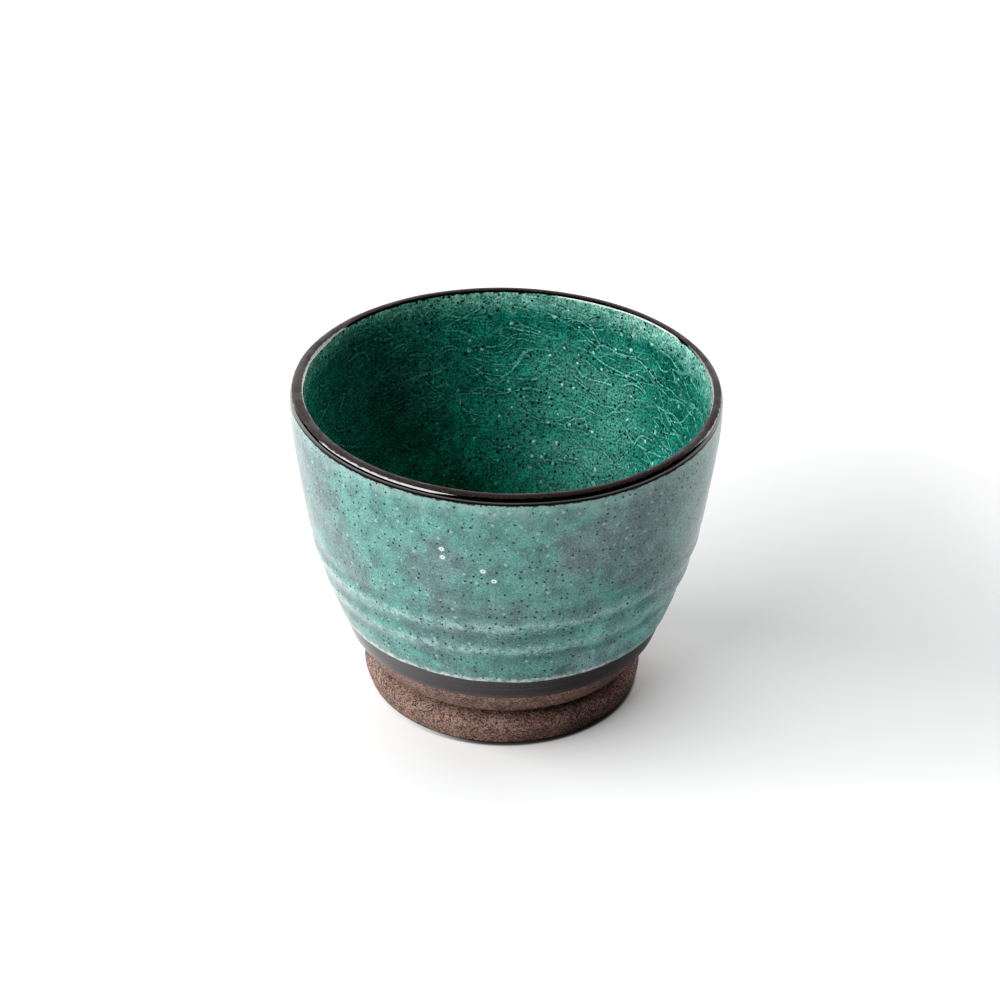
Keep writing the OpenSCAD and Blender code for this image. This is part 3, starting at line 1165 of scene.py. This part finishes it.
@dataclass
class Bowl(Assembly):
    """The thrown bowl in bare clay."""

    wall_rows: int = 70
    bare_rows: int = 28
    heel_rows: int = 10
    lip_rows: int = 13
    inner_rows: int = 25
    sand: float = 0.018

    def build(self) -> None:
        """Turn the bowl from its underside up, over the lip and down inside."""
        curve = self.curve
        s = curve.sizes
        joint_in_r = s.groove_d / 2 - s.joint_w
        outline = np.vstack([
            [(0.0, s.bowl_z), (joint_in_r / 2, s.bowl_z), (joint_in_r, s.bowl_z)],
            curve.heel(np.linspace(0.0, 90.0, self.heel_rows)),
            curve.outer(np.linspace(s.heel_z, s.band_low_z, self.bare_rows))[1:],
            curve.outer(np.linspace(s.band_low_z, s.dressing_z, self.wall_rows))[1:],
            curve.lip(np.linspace(0.0, 180.0, self.lip_rows)),
            curve.inner(np.linspace(s.lip_z, s.well_top_z, self.inner_rows))[1:],
            curve.well(np.linspace(0.0, 90.0, self.inner_rows))[1:],
        ])
        self.pieces = [
            self.wheel.turn("thrown_bowl", outline, Node.BOWL, Slot.BARE_CLAY, closed=False, sand=self.sand)
        ]

    def dress(self) -> None:
        """Give the bowl its sandy clay."""
        dress(self.pieces[0], BareClay("sandy_bare_clay", self.effects, grain_mm=0.18).material())


@dataclass
class Foot(Assembly):
    """The turned foot ring and the slip that joins it to the bowl."""

    side_rows: int = 26
    edge_rows: int = 8
    sand: float = 0.024

    def build(self) -> None:
        """Turn the foot ring and its slip joint."""
        s = self.curve.sizes
        base_r = s.foot_base_d / 2
        groove_r = s.groove_d / 2
        bead_r = s.foot_d / 2
        face_out_r = base_r - s.foot_edge_r
        face_in_r = face_out_r - s.foot_face_w
        joint_in_r = groove_r - s.joint_w
        way = np.linspace(0.0, 1.0, self.side_rows)
        side_r = base_r + (bead_r - base_r) * np.sin(way * math.pi / 2)
        side_z = s.foot_edge_r + (s.bead_z - s.foot_edge_r) * way
        over = np.radians(np.linspace(0.0, 90.0, self.side_rows))
        shoulder_r = groove_r + (bead_r - groove_r) * np.cos(over)
        shoulder_z = s.bead_z + (s.shoulder_z - s.bead_z) * np.sin(over)

        def edge(centre_r: float, start: float) -> np.ndarray:
            """Quarter round beside the standing face, from a start angle in degrees."""
            turn = np.radians(np.linspace(start, start + 90.0, self.edge_rows))
            edge_r = centre_r + s.foot_edge_r * np.cos(turn)
            return np.stack([edge_r, s.foot_edge_r * (1 + np.sin(turn))], 1)

        outline = np.vstack([
            edge(face_in_r, 180.0),
            edge(face_out_r, 270.0),
            np.stack([side_r, side_z], 1)[1:],
            np.stack([shoulder_r, shoulder_z], 1)[1:],
            [(groove_r, (s.shoulder_z + s.foot_h) / 2), (groove_r, s.foot_h), (joint_in_r, s.foot_h)],
        ])
        joint = np.array([
            (joint_in_r, s.foot_h), (groove_r, s.foot_h), (groove_r, s.bowl_z), (joint_in_r, s.bowl_z),
        ])
        self.pieces = [
            self.wheel.turn("turned_foot_ring", outline, Node.FOOT, Slot.FOOT_CLAY, sand=self.sand),
            self.wheel.turn("slip_joint", joint, Node.JOINT, Slot.JOINT_SLIP),
        ]

    def dress(self) -> None:
        """Give the ring coarse sandy clay, with painted contact shade at its base, and the joint a dry dark
        slip.
        """
        dress(self.pieces[0], BareClay("coarse_foot_clay", self.effects, painted_contact_shade_z=0.8).material())
        slip = BareClay("dry_joint_slip", self.effects, clay=(0.05, 0.03, 0.024), dusk=(0.03, 0.018, 0.014))
        dress(self.pieces[1], slip.material())


@dataclass
class Coats(Assembly):
    """The iron band, the two green glazes and the lip dressing."""

    band_rows: int = 24
    wall_rows: int = 110
    back_rows: int = 40
    lip_rows: int = 6
    inner_rows: int = 60
    well_rows: int = 50
    inner_back_rows: int = 25
    wrap_rows: int = 24

    def build(self) -> None:
        """Turn each coat as a closed skin over the clay."""
        self.pieces = [self._band(), self._outer(), self._inner(), self._lip()]

    def _band(self) -> Piece:
        """Turn the iron slip band."""
        curve = self.curve
        s = curve.sizes
        z = np.linspace(s.band_low_z, s.glaze_line_z, self.band_rows)
        outline = np.vstack([curve.outer(z), curve.outer(z, s.slip_t)[::-1]])
        return self.wheel.turn("iron_slip_band", outline, Node.BAND, Slot.IRON_SLIP)

    def _outer(self) -> Piece:
        """Turn the outer glaze, rolled at its lower edge and thin beside the lip."""
        curve = self.curve
        s = curve.sizes
        z = np.linspace(s.glaze_line_z, s.dressing_z, self.wall_rows)
        roll = 1 - share(z, s.glaze_line_z, s.glaze_line_z + s.glaze_roll)
        full = s.slip_t + (s.glaze_t - s.slip_t) * np.sqrt(1 - roll * roll)
        thin = eased(share(z, s.dressing_z - s.thinning_h, s.dressing_z))
        coat = full + (s.dressing_t - full) * thin
        back = np.linspace(s.glaze_line_z, s.dressing_z, self.back_rows)
        outline = np.vstack([curve.outer(back), curve.outer(z, coat)[::-1]])
        return self.wheel.turn("outer_green_glaze", outline, Node.OUTER, Slot.GREEN_GLAZE)

    def _inner(self) -> Piece:
        """Turn the inner glaze, from the lip down to the pool on the floor."""
        curve = self.curve
        s = curve.sizes
        lip = np.linspace(s.dressing_wrap, 180.0, self.lip_rows)
        z = np.linspace(s.lip_z, s.well_top_z, self.inner_rows)
        coat = s.glaze_t + (s.dressing_t - s.glaze_t) * eased(share(z, s.lip_z - s.thinning_h, s.lip_z))
        well = np.linspace(0.0, 90.0, self.well_rows)
        pool = s.glaze_t + s.pool_t * np.sin(np.radians(well)) ** 2
        back_z = np.linspace(s.lip_z, s.well_top_z, self.inner_back_rows)
        back_well = np.linspace(0.0, 90.0, self.inner_back_rows)
        under = np.vstack([curve.lip(lip), curve.inner(back_z)[1:], curve.well(back_well)[1:]])
        over = np.vstack([
            curve.lip(lip, s.dressing_t), curve.inner(z, coat)[1:], curve.well(well, pool)[1:],
        ])
        under[-1, 0] = 0.0
        over[-1, 0] = 0.0
        outline = np.vstack([under[::-1], over])
        return self.wheel.turn("inner_green_glaze", outline, Node.INNER, Slot.POOLED_GLAZE, closed=False)

    def _lip(self) -> Piece:
        """Turn the dark dressing over the lip."""
        curve = self.curve
        s = curve.sizes
        edge = np.array([s.dressing_z])
        wrap = np.linspace(0.0, s.dressing_wrap, self.wrap_rows)
        outline = np.vstack([
            curve.outer(edge, s.dressing_t),
            curve.lip(wrap, s.dressing_t),
            curve.lip(wrap)[::-1],
            curve.outer(edge),
        ])
        return self.wheel.turn("lip_dark_dressing", outline, Node.LIP, Slot.DARK_DRESSING)

    def dress(self) -> None:
        """Give each coat its finish."""
        sizes = self.curve.sizes
        finishes = (
            IronSlip("satin_iron_slip", self.effects, sizes),
            OuterGlaze("mottled_green_glaze", self.effects, sizes),
            InnerGlaze("deep_green_crackle", self.effects, sizes),
            DarkDressing("glossy_dark_dressing", self.effects, sizes),
        )
        for piece, finish in zip(self.pieces, finishes):
            dress(piece, finish.material())


@dataclass(frozen=True)
class SoftPanel:
    """A soft white panel light that faces the cup."""

    name: str
    azimuth: float
    elevation: float
    distance: float
    width: float
    height: float
    power: float

    def build(self, target: Vector) -> None:
        """Hang the panel, its azimuth counted from the front towards the left.

        Args:
            target: Point that the panel faces, in metres.
        """
        lamp = bpy.data.lights.new(self.name, "AREA")
        lamp.shape = "RECTANGLE"
        lamp.size = self.width
        lamp.size_y = self.height
        lamp.energy = self.power
        panel = bpy.data.objects.new(self.name, lamp)
        turn = math.radians(self.azimuth)
        rise = math.radians(self.elevation)
        out = math.cos(rise)
        towards = Vector((-out * math.sin(turn), -out * math.cos(turn), math.sin(rise)))
        panel.location = target + towards * self.distance
        panel.rotation_euler = (-towards).to_track_quat("-Z", "Y").to_euler()
        bpy.context.collection.objects.link(panel)


@dataclass(frozen=True)
class Studio:
    """Pale floor, soft panels on the left and behind, and the camera of the photograph."""

    target: tuple[float, float, float] = (0.0, 0.0, 0.025)
    distance: float = 0.490
    elevation: float = 32.5
    roll: float = 1.35
    focal_px: float = 3010.0
    target_px: tuple[float, float] = (504.5, 539.9)
    image_px: float = 1000.0
    floor_tone: float = 0.9
    # Painted light: the floor's tone rises and it glows towards the front.
    painted_front_tone: float = 0.99
    front_glow: float = 0.15
    painted_tone_depth: tuple[float, float] = (-65.0, -25.0)
    glow_depth: tuple[float, float] = (-60.0, -15.0)
    bounce: float = 0.95
    shade_at: tuple[float, float, float] = (26.0, -14.0, 0.0)
    shade_core_r: float = 12.0
    shade_r: float = 48.0
    shade: float = 0.3
    # Painted contact shadow: a dark ring round the foot, deeper on the right.
    foot_r: float = 22.1
    foot_shade: float = 0.1
    foot_shade_x: tuple[float, float] = (-18.0, -2.0)
    contact_w: float = 0.65
    toe: tuple[tuple[float, float], ...] = ((0.015, 0.008), (0.05, 0.038), (0.14, 0.13), (0.3, 0.3))
    panels: tuple[SoftPanel, ...] = (
        SoftPanel("window", 71.0, 32.0, 1.1, 1.6, 0.5, 25.0),
        SoftPanel("backdrop", 188.0, 24.0, 1.5, 4.4, 1.6, 68.0),
    )

    def build(self) -> None:
        """Set the floor, the lights, the camera and the tone of the picture."""
        self._floor()
        self._light()
        self._camera()
        view = bpy.context.scene.view_settings
        view.view_transform = "Standard"
        view.look = "None"
        view.use_curve_mapping = True
        curve = view.curve_mapping.curves[3]
        for dark, deeper in self.toe:
            curve.points.new(dark, deeper)
        view.curve_mapping.update()

    def _floor(self) -> None:
        """Lay a wide pale floor under the foot, with painted light that brightens it and makes it glow
        towards the front, a painted contact shadow round the foot, and a painted shadow to the right that
        only reflections and bounce light see.
        """
        bpy.ops.object.select_all(action="DESELECT")
        bpy.ops.mesh.primitive_plane_add(size=6.0)
        floor = bpy.context.object
        floor.name = "pale_floor"
        material = bpy.data.materials.new("pale_paper")
        material.use_nodes = True
        sheet = NodeSheet(material.node_tree)
        place = sheet.millimetres()
        across, depth, _ = sheet.axes(place)
        # Painted light: a brighter tone and an emitted glow towards the front.
        tone = sheet.ramp(depth, *self.painted_tone_depth, self.painted_front_tone, self.floor_tone)
        glow = sheet.ramp(depth, *self.glow_depth, self.front_glow, 0.0)
        # Painted shadow right of the cup, seen only by reflections and bounce light.
        far = sheet.distance(place, self.shade_at)
        shade = sheet.ramp(far, self.shade_core_r, self.shade_r, self.shade, self.bounce)
        seen = sheet.add("ShaderNodeLightPath").outputs["Is Camera Ray"]
        # Painted contact shadow round the foot, deeper towards the right; it also dims the glow.
        under = sheet.ramp(across, *self.foot_shade_x, 1.0, self.foot_shade)
        from_axis = sheet.distance(place, (0.0, 0.0, 0.0))
        painted_contact_shadow = sheet.ramp(from_axis, self.foot_r, self.foot_r + self.contact_w, under, 1.0)
        tone = sheet.times(tone, painted_contact_shadow, sheet.math("MAXIMUM", seen, shade))
        sheet.surface(
            {"Base Color": tone, "Roughness": 0.9, "Emission Color": painted_contact_shadow, "Emission Strength": glow}
        )
        floor.data.materials.append(material)

    def _light(self) -> None:
        """Hang the soft panels in a dark room."""
        world = bpy.data.worlds.new("dark_room")
        world.use_nodes = True
        world.node_tree.nodes["Background"].inputs["Strength"].default_value = 0.0
        bpy.context.scene.world = world
        for panel in self.panels:
            panel.build(Vector(self.target))

    def _camera(self) -> None:
        """Place the camera at the photograph's viewing angle."""
        lens = bpy.data.cameras.new("photo_camera")
        lens.sensor_width = 36.0
        lens.lens = self.focal_px / self.image_px * lens.sensor_width
        lens.shift_x = (self.image_px / 2 - self.target_px[0]) / self.image_px
        lens.shift_y = (self.target_px[1] - self.image_px / 2) / self.image_px
        lens.clip_start = 0.01
        lens.clip_end = 20.0
        camera = bpy.data.objects.new("photo_camera", lens)
        rise = math.radians(self.elevation)
        back = Vector((0.0, -math.cos(rise), math.sin(rise))) * self.distance
        tilt = Matrix.Rotation(math.pi / 2 - rise, 4, "X")
        roll = Matrix.Rotation(math.radians(self.roll), 4, "Z")
        camera.matrix_world = Matrix.Translation(Vector(self.target) + back) @ (tilt @ roll)
        bpy.context.collection.objects.link(camera)
        bpy.context.scene.camera = camera


def main() -> None:
    """Build the cup piece by piece, dress it and set the studio."""
    logging.basicConfig(level=logging.INFO, format="%(name)s: %(message)s")
    wheel = Wheel(HandMarks(WallCurve(CupSizes())))
    effects = Effects()
    for part in (Bowl(wheel, effects), Foot(wheel, effects), Coats(wheel, effects)):
        part.build()
        part.dress()
        for piece in part.pieces:
            LOG.info("%s: %d faces", piece.name, len(piece.data.polygons))
    Studio().build()


if __name__ == "__main__":
    main()
